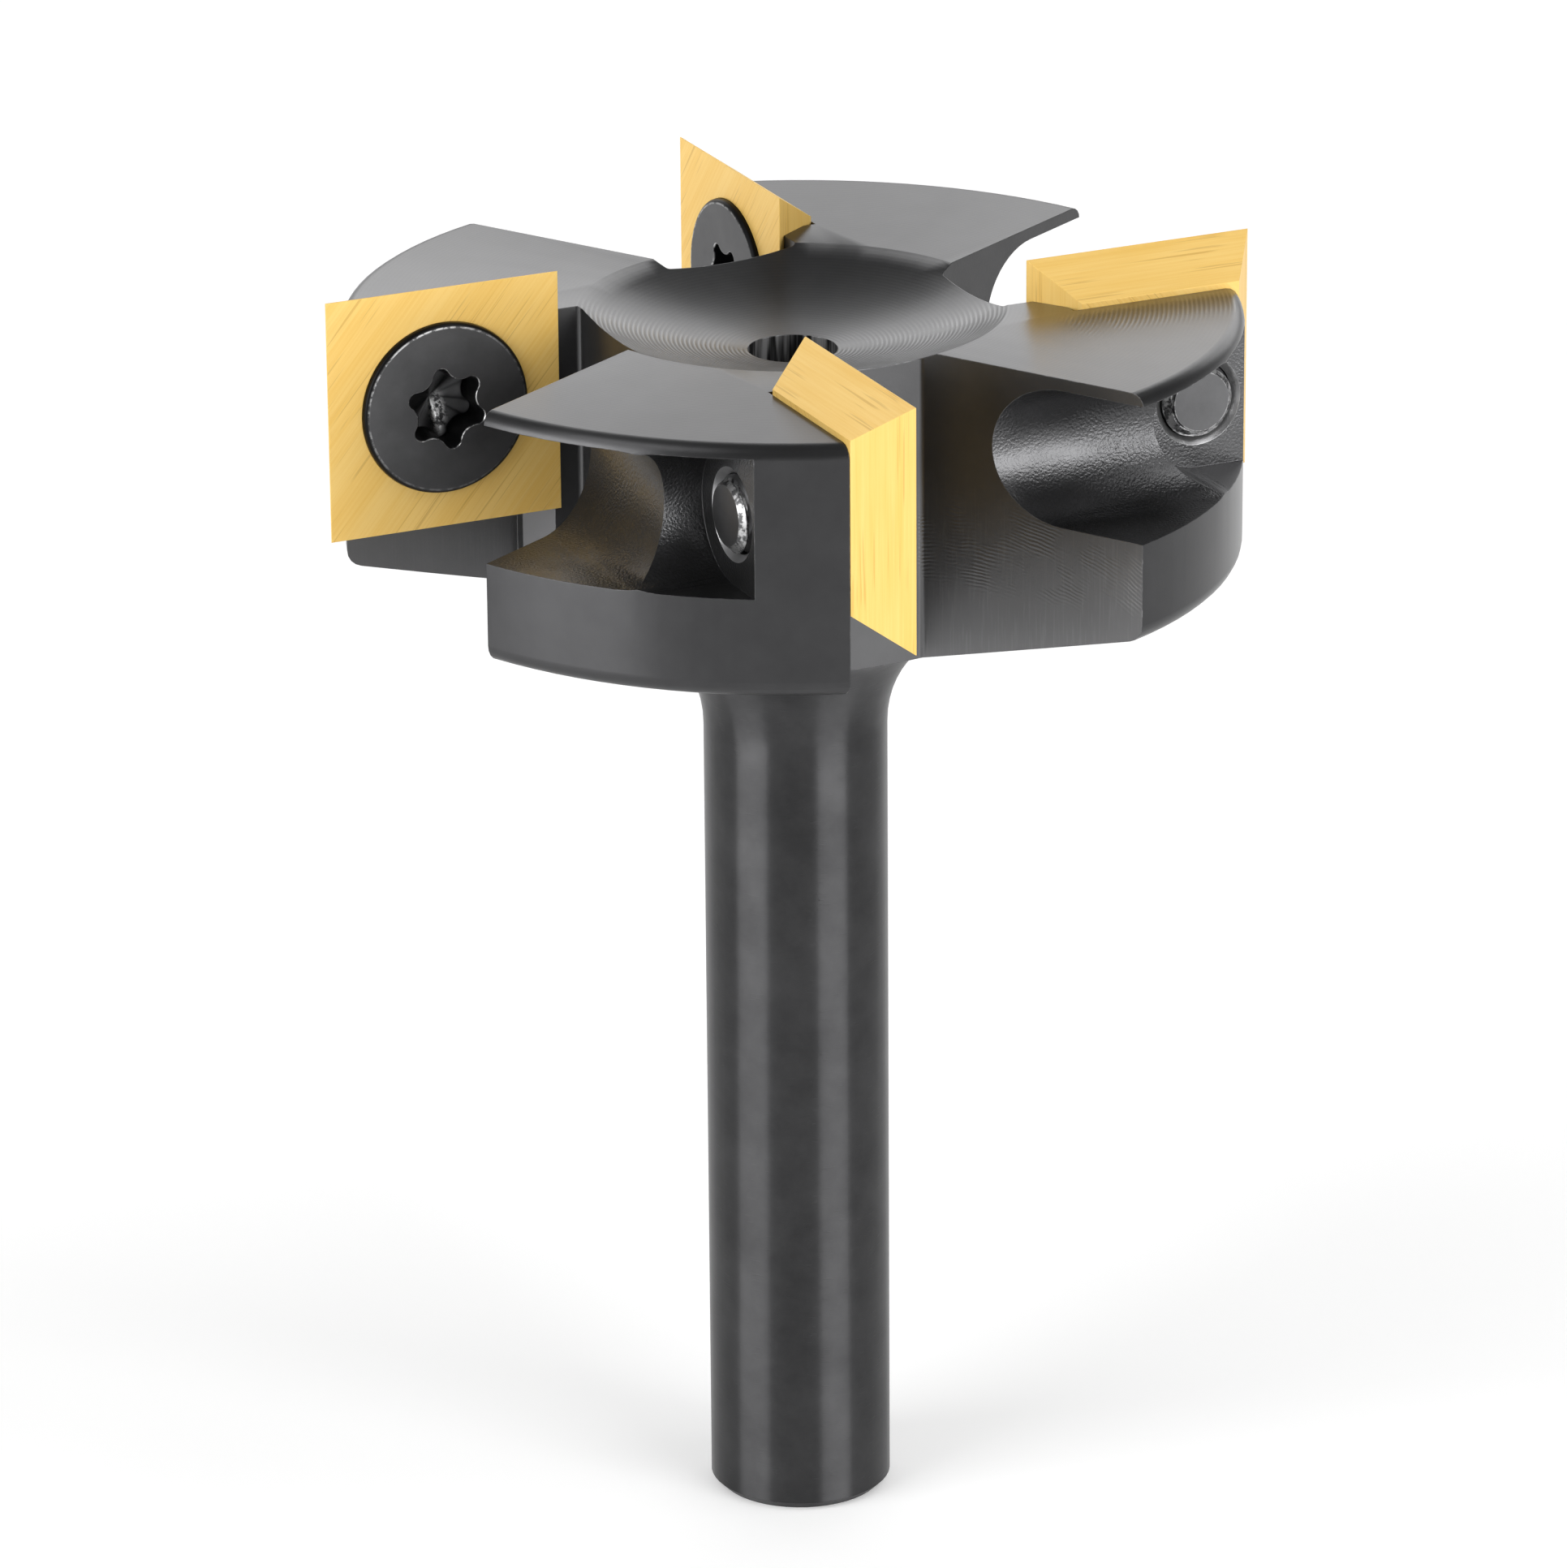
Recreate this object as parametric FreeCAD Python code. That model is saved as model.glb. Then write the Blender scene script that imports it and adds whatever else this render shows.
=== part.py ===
import FreeCAD, Part
import math
import os

# A surfacing router bit: a turned and milled steel body on a plain shank,
# with four square carbide inserts, each held by one countersunk six-lobe screw.
# Sizes are in millimetres and angles in degrees.
# The origin is the centre of the shank's free end, and Z runs along the axis
# to the cutting end. The first wing points along minus X and its insert faces
# minus Y. The others follow it counter-clockwise, seen from the cutting end,
# which is also the way the cutter turns.

# Shank
shank_diameter = 12.0
shank_length = 54.0          # parallel part, from the free end to the flare
shank_end_chamfer = 0.55
flare_radius = 7.7           # hollow curve from the shank into the head

# Head
cutter_overhang = 1.5        # how far the cutting corners pass the steel rim
rim_below_insert = 2.8       # steel rim under the lower edge of an insert
underside_angle = 15.1       # slope of the head's underside
top_edge_radius = 0.9
bottom_edge_radius = 1.2
edge_bevel_count = 4         # narrow bevels that round each of these two edges
dish_diameter = 27.5         # shallow round hollow in the middle of the face
dish_depth = 3.0
centre_hole_diameter = 5.8
centre_hole_depth = 12.0

# Inserts
wing_count = 4
cutting_diameter = 60.8      # circle swept by the outer insert corners
insert_land = 2.35           # flat left between the screw's head and the cutting edges
insert_bore_land = 0.2       # bore left between the screw's cone and the insert's back
relief_angle = 35.0          # slope of the four ground flanks
insert_face_offset = 5.5     # cutting face to the plane through the axis
insert_rise = 2.7            # upper cutting edge above the head's face
insert_hole_play = 0.25      # screw shank to insert bore

# Pockets and gullets
insert_stand_off = 0.45      # cutting face in front of the wing's leading face
pocket_corner_relief = 0.87  # step that clears the insert's sharp back corner
shoulder_width = 1.7         # steel between an insert and the gullet floor
gullet_floor_width = 9.25
gullet_angle = 30.8          # between a leading face and the next wing's back
gullet_corner_radius = 0.4

# Milled slots behind each insert
top_plate = 0.8              # steel left above the slots
thread_wall = 5.35           # steel between the insert seat and the slot floor
back_step = 2.55             # slot floor to the deepest line of the back slot

# Screws
screw_diameter = 5.0
screw_head_diameter = 11.3
countersink_angle = 90.0
head_proud = 0.45            # head rim above the cutting face
screw_stand_out = 0.45       # screw tip past the slot floor
screw_tip_chamfer = 0.55
hole_mouth_chamfer = 0.45
recess_point_diameter = 5.4  # six-lobe recess across its points
recess_valley_diameter = 4.0
recess_lobe_count = 6
recess_flats_per_lobe = 6    # flats that draw each lobe of the wavy outline
recess_floor_wall = 1.3      # steel between the recess floor and the end of the head's cone
recess_first_turn = 9.5      # where the first screw came to rest
recess_turn_step = 6.8       # each next screw came to rest a little further

# Clearances
seat_gap = 0.02              # insert on its seat, and screw head in the insert
pocket_gap = 0.03            # insert flank to the pocket wall
thread_gap = 0.05            # screw shank to the tapped hole, on the radius

# Worked out from the sizes above
UP = FreeCAD.Vector(0, 0, 1)
BACK = FreeCAD.Vector(0, 1, 0)
OUT = FreeCAD.Vector(-1, 0, 0)
screw_radius = screw_diameter / 2
screw_head_radius = screw_head_diameter / 2
head_tan = math.tan(math.radians(countersink_angle / 2))
head_cone_height = (screw_head_radius - screw_radius) / head_tan
insert_size = screw_head_diameter + 2 * insert_land
insert_thickness = head_cone_height + insert_bore_land
shank_radius = shank_diameter / 2
cutting_radius = cutting_diameter / 2
head_radius = cutting_radius - cutter_overhang
underside_tan = math.tan(math.radians(underside_angle))
underside_cos = math.cos(math.radians(underside_angle))
underside_sin = math.sin(math.radians(underside_angle))
flare_centre_radius = shank_radius + flare_radius
rim_bottom = (shank_length + flare_radius / underside_cos
              + underside_tan * (head_radius - flare_centre_radius))
insert_bottom = rim_bottom + rim_below_insert
insert_top = insert_bottom + insert_size
insert_middle = insert_bottom + insert_size / 2
head_top = insert_top - insert_rise
insert_outer = math.sqrt(cutting_radius ** 2 - insert_face_offset ** 2)
insert_inner = insert_outer - insert_size
screw_reach = insert_outer - insert_size / 2
flank_width = insert_thickness * math.tan(math.radians(relief_angle))
seat_plane = insert_face_offset + insert_thickness + seat_gap
leading_plane = insert_face_offset + insert_stand_off
gullet_floor = insert_inner - shoulder_width
slot_radius = insert_size / 2 - insert_rise - top_plate
slot_floor = seat_plane + thread_wall
back_slot_axis = slot_floor + back_step + slot_radius
screw_tip = slot_floor + screw_stand_out
centre_hole_radius = centre_hole_diameter / 2
beyond = 2 * head_radius      # well past the outside of the head


def point(x, y, z):
    return FreeCAD.Vector(x, y, z)


def line(a, b):
    return Part.makeLine(a, b)


def arc_corners(centre, radius, start, end, steps):
    """Evenly spaced (u, v) points on an arc about centre, from one angle to another."""
    angles = [math.radians(start + (end - start) * step / steps) for step in range(steps + 1)]
    return [(centre[0] + radius * math.cos(a), centre[1] + radius * math.sin(a))
            for a in angles]


def prism(corners, bottom, top):
    """Upright prism over a plan outline given as (x, y) corners."""
    outline = Part.makePolygon([point(x, y, bottom) for x, y in corners + corners[:1]])
    return Part.Face(outline).extrude(UP * (top - bottom))


def on_wing(shape, number):
    """Copy of a first-wing shape, turned to the wing of that number."""
    turned = shape.copy()
    turned.rotate(point(0, 0, 0), UP, number * 360.0 / wing_count)
    return turned


def flare_curve(spot):
    """Hollow curve that leaves the shank and joins the underside without a kink."""
    turn = math.radians(90 - underside_angle)
    pull = flare_radius * math.tan(turn / 4) * 4 / 3
    end_radius = flare_centre_radius - flare_radius * underside_sin
    end_height = shank_length + flare_radius * underside_cos
    curve = Part.BezierCurve()
    curve.setPoles([
        spot(shank_radius, shank_length),
        spot(shank_radius, shank_length + pull),
        spot(end_radius - pull * underside_cos, end_height - pull * underside_sin),
        spot(end_radius, end_height),
    ])
    return curve.toShape()


def dish_curve(spot):
    """Round hollow, from its rim in to the edge of the centre hole."""
    rim = dish_diameter / 2
    sphere = (rim ** 2 + dish_depth ** 2) / (2 * dish_depth)
    centre = head_top - dish_depth + sphere
    reach = [rim, (rim + centre_hole_radius) / 2, centre_hole_radius]
    return Part.Arc(*[spot(r, centre - math.sqrt(sphere ** 2 - r ** 2)) for r in reach]).toShape()


def body_blank():
    """The turned blank: shank, flare, sloped underside, rim, dish and centre hole."""
    def spot(radius, height):
        return point(radius, 0, height)

    flare = flare_curve(spot)
    dish = dish_curve(spot)
    low_centre = (head_radius - bottom_edge_radius,
                  rim_bottom + bottom_edge_radius * (1 / underside_cos - underside_tan))
    top_centre = (head_radius - top_edge_radius, head_top - top_edge_radius)
    low_edge = arc_corners(low_centre, bottom_edge_radius, underside_angle - 90, 0,
                           edge_bevel_count)
    top_edge = arc_corners(top_centre, top_edge_radius, 0, 90, edge_bevel_count)
    hole_bottom = head_top - dish_depth - centre_hole_depth
    shank = Part.makePolygon([
        spot(centre_hole_radius, hole_bottom), spot(0, hole_bottom), spot(0, 0),
        spot(shank_radius - shank_end_chamfer, 0), spot(shank_radius, shank_end_chamfer),
        spot(shank_radius, shank_length),
    ])
    rim = Part.makePolygon([flare.lastVertex().Point]
                           + [spot(*corner) for corner in low_edge + top_edge]
                           + [dish.firstVertex().Point])
    hole = line(dish.lastVertex().Point, spot(centre_hole_radius, hole_bottom))
    outline = Part.Wire(shank.Edges + [flare] + rim.Edges + [dish, hole])
    return Part.Face(outline).revolve(point(0, 0, 0), UP, 360)


def gullet():
    """Chip space in front of the first wing, as far as the next wing's back."""
    floor_end = leading_plane - gullet_floor_width
    drop = (beyond - gullet_floor) * math.tan(math.radians(gullet_angle))
    corners = [(-gullet_floor, leading_plane), (-beyond, leading_plane),
               (-beyond, floor_end - drop), (-gullet_floor, floor_end)]
    space = prism(corners, shank_length, insert_top)
    inner = [edge for edge in space.Edges
             if all(abs(v.X + gullet_floor) < 1e-6 for v in edge.Vertexes)
             and edge.BoundBox.ZLength > insert_size]
    return space.makeFillet(gullet_corner_radius, inner)


def pocket():
    """Insert seat, with a sloping side wall and a relieved corner."""
    def wall(depth):
        """Distance from the axis plane to the side wall at this depth."""
        back = seat_plane - seat_gap - depth
        return insert_inner + back_edge_inset(back) - pocket_gap

    def back_edge_inset(back):
        return flank_width - back * math.tan(math.radians(relief_angle))

    step = seat_plane - pocket_corner_relief
    front = leading_plane - insert_stand_off
    corners = [(-beyond, front), (-beyond, seat_plane), (-wall(step), seat_plane),
               (-wall(step), step), (-wall(front), front)]
    return prism(corners, shank_length, insert_top)


def slots():
    """Screw slot, sunk from behind, and the back slot that crosses it."""
    height = 2 * slot_radius
    low = insert_middle - slot_radius
    screw_slot = Part.makeCylinder(slot_radius, beyond,
                                   point(-screw_reach, slot_floor, insert_middle), BACK)
    screw_side = Part.makeBox(beyond, beyond, height,
                              point(-screw_reach - beyond, slot_floor, low))
    back_slot = Part.makeCylinder(slot_radius, beyond,
                                  point(0, back_slot_axis, insert_middle), OUT)
    back_side = Part.makeBox(beyond, beyond, height,
                             point(-beyond, back_slot_axis, low))
    return [screw_slot, screw_side, back_slot, back_side]


def tapped_hole():
    """Hole for the screw, drawn at its full width, with a chamfered mouth."""
    radius = screw_radius + thread_gap
    hole = Part.makeCylinder(radius, thread_wall,
                             point(-screw_reach, seat_plane, insert_middle), BACK)
    mouth = Part.makeCone(radius, radius + hole_mouth_chamfer, hole_mouth_chamfer,
                          point(-screw_reach, slot_floor - hole_mouth_chamfer, insert_middle),
                          BACK)
    return [hole, mouth]


def cutter_body():
    """One piece of steel: the turned blank with four wings milled in it."""
    cuts = [gullet(), pocket()] + slots() + tapped_hole()
    tools = [on_wing(cut, number) for number in range(wing_count) for cut in cuts]
    return body_blank().cut(tools)


def insert():
    """Square carbide plate: four ground flanks and a countersunk hole."""
    half = insert_size / 2
    back_half = half - flank_width
    front = insert_face_offset
    back = insert_face_offset + insert_thickness
    section = [(-half, front), (half, front), (back_half, back), (-back_half, back),
               (-half, front)]
    upright = Part.Face(Part.makePolygon([point(u, y, -half) for u, y in section]))
    level = Part.Face(Part.makePolygon([point(-half, y, u) for u, y in section]))
    plate = upright.extrude(UP * insert_size).common(level.extrude(OUT * -insert_size))
    plate.translate(point(-screw_reach, 0, insert_middle))

    axis_start = point(-screw_reach, insert_face_offset, insert_middle)
    bore_radius = screw_radius + insert_hole_play
    mouth_radius = screw_head_radius + seat_gap / math.cos(math.radians(countersink_angle / 2))
    sink_depth = (mouth_radius - bore_radius) / head_tan
    bore = Part.makeCylinder(bore_radius, insert_thickness, axis_start, BACK)
    sink = Part.makeCone(mouth_radius, bore_radius, sink_depth, axis_start, BACK)
    return plate.cut([bore, sink])


def screw_blank():
    """Countersunk head with a low rim, plain shank and chamfered tip."""
    def spot(radius, depth):
        return point(radius, depth, 0)

    head_face = insert_face_offset - head_proud
    outline = [spot(0, head_face),
               spot(screw_head_radius, head_face),
               spot(screw_head_radius, insert_face_offset),
               spot(screw_radius, insert_face_offset + head_cone_height),
               spot(screw_radius, screw_tip - screw_tip_chamfer),
               spot(screw_radius - screw_tip_chamfer, screw_tip),
               spot(0, screw_tip),
               spot(0, head_face)]
    turned = Part.Face(Part.makePolygon(outline)).revolve(point(0, 0, 0), BACK, 360)
    turned.translate(point(-screw_reach, 0, insert_middle))
    return turned


def six_lobe_outline(depth, turn):
    """Closed outline whose radius rises and falls six times on its way round."""
    middle = (recess_point_diameter + recess_valley_diameter) / 4
    swing = (recess_point_diameter - recess_valley_diameter) / 4
    flats = recess_lobe_count * recess_flats_per_lobe

    def spot(step):
        angle = 2 * math.pi * (step + 0.5) / flats
        radius = middle + swing * math.cos(recess_lobe_count * angle)
        heading = angle + math.radians(turn)
        return point(radius * math.sin(heading) - screw_reach, depth,
                     radius * math.cos(heading) + insert_middle)

    corners = [spot(step) for step in range(flats)]
    return Part.makePolygon(corners + corners[:1])


def insert_screw(number):
    """Screw of the first wing, with the recess turned as that wing's screw is."""
    head_face = insert_face_offset - head_proud
    turn = recess_first_turn + number * recess_turn_step
    recess_depth = head_proud + head_cone_height - recess_floor_wall
    outline = Part.Face(six_lobe_outline(head_face, -turn))
    return screw_blank().cut(outline.extrude(BACK * recess_depth))


def write(shape, name):
    shape.exportStep(f"parts/{name}.step")


os.makedirs("parts", exist_ok=True)
write(cutter_body(), "cutter_body")
for number in range(wing_count):
    write(on_wing(insert(), number), f"insert_{number + 1}")
    write(on_wing(insert_screw(number), number), f"insert_screw_{number + 1}")
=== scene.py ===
# %% [markdown]
# # A surfacing router bit, dressed for its picture
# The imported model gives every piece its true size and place. This lesson keeps that
# shape and adds what the eye meets on the real tool: blackened steel with the marks
# of the lathe and the milling cutter, gold-coated ground carbide, and screws with
# their thread, rounded six-lobe recess and worn edges.
# All lengths are metres in the model's own frame, so a value in millimetres is
# multiplied by `mm`.

# %% Load the frame
import math

import bmesh
import bpy
import numpy as np
from mathutils import Matrix, Vector


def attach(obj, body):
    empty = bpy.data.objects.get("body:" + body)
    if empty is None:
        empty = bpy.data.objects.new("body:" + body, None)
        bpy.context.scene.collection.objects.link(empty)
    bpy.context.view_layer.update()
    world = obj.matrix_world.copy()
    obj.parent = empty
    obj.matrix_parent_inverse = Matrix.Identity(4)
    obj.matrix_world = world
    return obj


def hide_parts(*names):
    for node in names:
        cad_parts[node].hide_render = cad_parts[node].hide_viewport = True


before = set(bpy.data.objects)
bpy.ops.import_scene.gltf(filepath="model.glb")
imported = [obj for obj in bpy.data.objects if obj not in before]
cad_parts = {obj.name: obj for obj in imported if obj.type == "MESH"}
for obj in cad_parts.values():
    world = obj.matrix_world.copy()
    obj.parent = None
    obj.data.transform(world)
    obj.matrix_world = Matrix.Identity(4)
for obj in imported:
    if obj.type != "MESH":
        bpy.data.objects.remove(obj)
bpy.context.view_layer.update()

mm = 0.001

# %% [markdown]
# ## The camera
# The photograph was taken a little from the left and above, through a long lens.
# A camera could be dragged into place by eye. It is worked out here from an azimuth,
# an elevation, a small roll, a distance and the point it looks at, because those
# numbers are what a perspective fit to the corners of the object gives.

# %% Camera
view_azimuth = math.radians(-24.569)
view_elevation = math.radians(20.583)
view_roll = math.radians(-0.443)
view_distance = 558.24 * mm
focal_length = 196.37
sensor_width = 36
side_step = -0.806 * mm
aim_height = 49.512 * mm


def direction(azimuth, elevation):
    """Unit vector from the object towards a viewer at this azimuth and elevation."""
    return Vector((math.sin(azimuth) * math.cos(elevation),
                   -math.cos(azimuth) * math.cos(elevation),
                   math.sin(elevation)))


back = direction(view_azimuth, view_elevation)
right = Vector((0, 0, 1)).cross(back).normalized()
up = back.cross(right)
aim = Vector((math.cos(view_azimuth), math.sin(view_azimuth), 0)) * side_step
aim.z = aim_height
turned_right = right * math.cos(view_roll) + up * math.sin(view_roll)
turned_up = up * math.cos(view_roll) - right * math.sin(view_roll)

camera = bpy.data.objects.new("camera", bpy.data.cameras.new("camera"))
camera.data.lens = focal_length
camera.data.sensor_width = sensor_width
camera.data.clip_start = 10 * mm
camera.data.clip_end = 20
camera.matrix_world = (Matrix.Translation(aim + back * view_distance)
                       @ Matrix((turned_right, turned_up, back)).transposed().to_4x4())
bpy.context.collection.objects.link(camera)
bpy.context.scene.camera = camera
print("camera at", [round(v / mm, 1) for v in camera.matrix_world.translation], "mm")

# %% [markdown]
# ## Colours and nodes
# Colours are written as sRGB hex, the way a picture editor shows them, and one
# function turns them to the linear values that light adds up in. One more function
# adds a shader node, sets it and wires it up.

# %% Helpers for colours and nodes
def linear(code):
    """Linear RGBA of an sRGB hex colour such as #a0b0c0."""
    parts = [int(code[i:i + 2], 16) / 255 for i in (1, 3, 5)]
    return [v / 12.92 if v <= 0.04045 else ((v + 0.055) / 1.055) ** 2.4 for v in parts] + [1.0]


def add(tree, kind, inputs=(), **settings):
    """A new node. inputs maps a socket's name or index to a value or to another socket."""
    node = tree.nodes.new("ShaderNode" + kind)
    for name, value in settings.items():
        setattr(node, name, value)
    for key, value in dict(inputs).items():
        if isinstance(value, bpy.types.NodeSocket):
            tree.links.new(value, node.inputs[key])
        else:
            node.inputs[key].default_value = value
    return node


def new_material(name):
    """An empty node material and its tree."""
    material = bpy.data.materials.new(name)
    material.use_nodes = True
    material.node_tree.nodes.clear()
    return material, material.node_tree


def finish_material(material, tree, sockets):
    """Puts one principled shader with these sockets on the material's output."""
    shader = add(tree, "BsdfPrincipled", sockets)
    add(tree, "OutputMaterial", {"Surface": shader.outputs[0]})
    return material


def chain(tree, operation, values):
    """Values joined two by two, from the first to the last."""
    result, *others = values
    for value in others:
        result = add(tree, "Math", {0: result, 1: value}, operation=operation).outputs[0]
    return result


def product(tree, *values):
    """All values multiplied."""
    return chain(tree, "MULTIPLY", values)


def total(tree, *values):
    """All values added up."""
    return chain(tree, "ADD", values)


print("sRGB #808080 is", round(linear("#808080")[0], 3), "in linear light")

# %% [markdown]
# ## Floor and light
# The object stands on a plain pale floor. A tent of large soft lamps suits blackened
# steel, which shows little colour of its own and is drawn by what it mirrors. A wide
# lamp behind lights the flat top faces, two lamps at the sides draw the bright bands
# down the round shank, and two higher ones light the slots and the edges.

# %% Floor and world
floor_radius = 3.0
floor_corners = 96
backdrop_lift = 0.26

floor_mesh = bpy.data.meshes.new("floor")
rim = np.arange(floor_corners) * 2 * math.pi / floor_corners
floor_points = np.stack([floor_radius * np.cos(rim), floor_radius * np.sin(rim),
                         np.zeros_like(rim)], axis=1)
floor_mesh.from_pydata(floor_points.tolist(), [], [list(range(floor_corners))])
floor = bpy.data.objects.new("floor", floor_mesh)
bpy.context.collection.objects.link(floor)

# Matt paper scatters light evenly and shows no gloss. The camera, metal and glass see
# it a little brighter than the lamps make it, so that it reads as a white backdrop
# without more light on the object, and it still takes the object's shadow.
paper, tree = new_material("matt_white_paper")
ray = add(tree, "LightPath").outputs
seen = total(tree, ray["Is Camera Ray"], ray["Is Glossy Ray"], ray["Is Transmission Ray"])
finish_material(paper, tree, {
    "Base Color": linear("#f2f2f2"), "Roughness": 1.0, "Specular IOR Level": 0.0,
    "Emission Color": linear("#ffffff"), "Emission Strength": product(tree, seen, backdrop_lift)})
floor_mesh.materials.append(paper)

world = bpy.data.worlds.new("studio")
bpy.context.scene.world = world
world.use_nodes = True
world.node_tree.nodes.clear()
room = add(world.node_tree, "Background", {"Color": linear("#949494"), "Strength": 1.0})
add(world.node_tree, "OutputWorld", {"Surface": room.outputs[0]})
bpy.context.scene.view_settings.view_transform = "Standard"
print("floor of", floor_radius, "m radius")

# %% Lamps
lamp_target = Vector((0, 0, 60 * mm))


def softbox(name, azimuth, elevation, distance, width, height, radiance):
    """A rectangular lamp that faces the head, at an azimuth from the camera in degrees.

    Its power is the wanted brightness per area times pi times the area.
    """
    lamp = bpy.data.lights.new(name, "AREA")
    lamp.shape = "RECTANGLE"
    lamp.size = width
    lamp.size_y = height
    lamp.energy = radiance * math.pi * width * height
    placed = bpy.data.objects.new(name, lamp)
    away = direction(view_azimuth + math.radians(azimuth), math.radians(elevation))
    placed.matrix_world = (Matrix.Translation(lamp_target + away * distance)
                           @ away.to_track_quat("Z", "Y").to_matrix().to_4x4())
    bpy.context.collection.objects.link(placed)
    print(name, "power", round(lamp.energy, 2), "W")


softbox("lamp_behind", 180, 22, distance=1.0, width=1.7, height=0.48, radiance=1.7)
softbox("lamp_left", -58, 10, distance=0.9, width=0.66, height=0.54, radiance=5.6)
softbox("lamp_right", 45, 10, distance=0.9, width=0.60, height=0.54, radiance=5.7)
softbox("lamp_left_high", -52, 52, distance=0.9, width=0.50, height=0.40, radiance=1.8)
softbox("lamp_right_high", 72, 57, distance=0.9, width=0.50, height=0.42, radiance=2.2)

# %% [markdown]
# ## Surfaces from grids
# Each new piece is a closed surface: a grid of points, one axis along a profile and
# the other round the piece. The helper joins neighbouring rows and columns with
# four-sided faces and leaves the ends of the profile closed in a single point or
# joined to each other.

# %% Grid to mesh
def grid_mesh(name, points, join_profile=False):
    """Mesh of a (profile, round, 3) grid. The round axis always joins up.

    With join_profile the last profile row joins the first, as on a ring. Otherwise
    the first and last rows each shrink to one point and become a fan of triangles.
    """
    columns = points.shape[1]
    inner = points if join_profile else points[1:-1]
    count = inner.shape[0]
    index = np.arange(count * columns).reshape(count, columns)
    upper = index if join_profile else index[:-1]
    lower = np.roll(index, -1, axis=0) if join_profile else index[1:]
    quads = np.stack([upper, lower, np.roll(lower, -1, axis=1), np.roll(upper, -1, axis=1)],
                     axis=-1).reshape(-1, 4)
    vertices = inner.reshape(-1, 3)
    faces = quads.tolist()
    if not join_profile:
        first, last = len(vertices), len(vertices) + 1
        vertices = np.concatenate([vertices, points[:1, 0], points[-1:, 0]])
        fan = np.stack([np.full(columns, first), index[0], np.roll(index[0], -1)], axis=1)
        end = np.stack([np.full(columns, last), np.roll(index[-1], -1), index[-1]], axis=1)
        faces += fan.tolist() + end.tolist()
    mesh = bpy.data.meshes.new(name)
    mesh.from_pydata(vertices.tolist(), [], faces)
    mesh.validate()
    return mesh


def tag_grid(mesh, name, values):
    """Vertex attribute from one value per grid point, for a mesh closed by two points."""
    spread = np.concatenate([values[1:-1].ravel(), values[:1, 0], values[-1:, 0]])
    layer = mesh.attributes.new(name, "FLOAT", "POINT")
    layer.data.foreach_set("value", spread.astype(np.float32))


# %% Reading, turning and smoothing a mesh
wing_count = 4


def points_of(mesh):
    """Points of a mesh as an array of three columns."""
    values = np.empty(len(mesh.vertices) * 3)
    mesh.vertices.foreach_get("co", values)
    return values.reshape(-1, 3)


def faces_of(mesh, name):
    """Centres or normals of all faces as an array of three columns."""
    values = np.empty(len(mesh.polygons) * 3)
    mesh.polygons.foreach_get(name, values)
    return values.reshape(-1, 3)


def corners_of(mesh):
    """Point number of every face corner, face after face."""
    values = np.empty(len(mesh.loops), np.int32)
    mesh.loops.foreach_get("vertex_index", values)
    return values


def turned(spots, wings):
    """Spots turned about the axis by a number of quarter turns, from wing to wing."""
    turn = wings * 2 * math.pi / wing_count
    matrix = np.array([[math.cos(turn), -math.sin(turn), 0],
                       [math.sin(turn), math.cos(turn), 0], [0, 0, 1]])
    return spots @ matrix.T


def smooth(mesh, sharp_angle):
    """Shades a mesh smooth, but for edges sharper than this angle in degrees."""
    mesh.polygons.foreach_set("use_smooth", np.ones(len(mesh.polygons), bool))
    mesh.set_sharp_from_angle(angle=math.radians(sharp_angle))


def place(mesh, name, material, number):
    """Object for a first-wing mesh, turned to its wing by moving the points."""
    mesh.vertices.foreach_set("co", turned(points_of(mesh), number).ravel())
    mesh.materials.append(material)
    mesh.update()
    piece = bpy.data.objects.new(name, mesh)
    bpy.context.collection.objects.link(piece)
    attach(piece, "root")
    return piece


print("second wing points along", turned(np.array([-1.0, 0, 0]), 1).round(3).tolist())

# %% [markdown]
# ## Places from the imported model
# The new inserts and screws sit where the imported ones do, and the finishes follow the
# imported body. A size that is typed in twice drifts apart sooner or later, so the main
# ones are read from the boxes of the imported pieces. The first wing points along -X,
# and its insert faces -Y, so a depth into the wing is a y.

# %% Places in the first wing
def box_of(name):
    """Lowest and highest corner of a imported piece, to a hundredth of a millimetre."""
    spots = points_of(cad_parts[name].data)
    return [np.round(corner / mm, 2) * mm for corner in (spots.min(axis=0), spots.max(axis=0))]


insert_low, insert_high = box_of("insert_1")
insert_face, insert_back = insert_low[1], insert_high[1]
insert_half = (insert_high[2] - insert_low[2]) / 2
insert_middle = (insert_high[2] + insert_low[2]) / 2
screw_reach = -(insert_high[0] + insert_low[0]) / 2

screw_low, screw_high = box_of("insert_screw_1")
head_face, screw_tip = screw_low[1], screw_high[1]
head_radius = (screw_high[2] - screw_low[2]) / 2

flat_height = box_of("cutter_body")[1][2]
dish_radius = 13.75 * mm
print("screw axis at", round(screw_reach / mm, 2), "and", round(insert_middle / mm, 2),
      "mm, face of the head at", round(flat_height / mm, 2), "mm")

# %% [markdown]
# ## Black-oxide steel
# The body and the screws are tool steel in a hot black-oxide bath. The bath darkens
# the metal but leaves its surface as the tool left it, so it is still a metal and
# keeps every mark: fine rings where it was turned, short arcs where it was milled.
# A grey paint would be easier, and would lose the mirrored light that shapes it. The
# bath's own grain is a few micrometres wide, and is drawn 0.14 to 0.22 mm wide in the
# finishes below, because a finer one wouldn't show.

# %% What the finishes are made of
bevel_samples = 6


def new_finish(name, edge_radius):
    """A new material, its tree and a normal with every edge worn round by this radius."""
    material, tree = new_material(name)
    worn = add(tree, "Bevel", {"Radius": edge_radius}, samples=bevel_samples).outputs[0]
    return material, tree, worn


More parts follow.
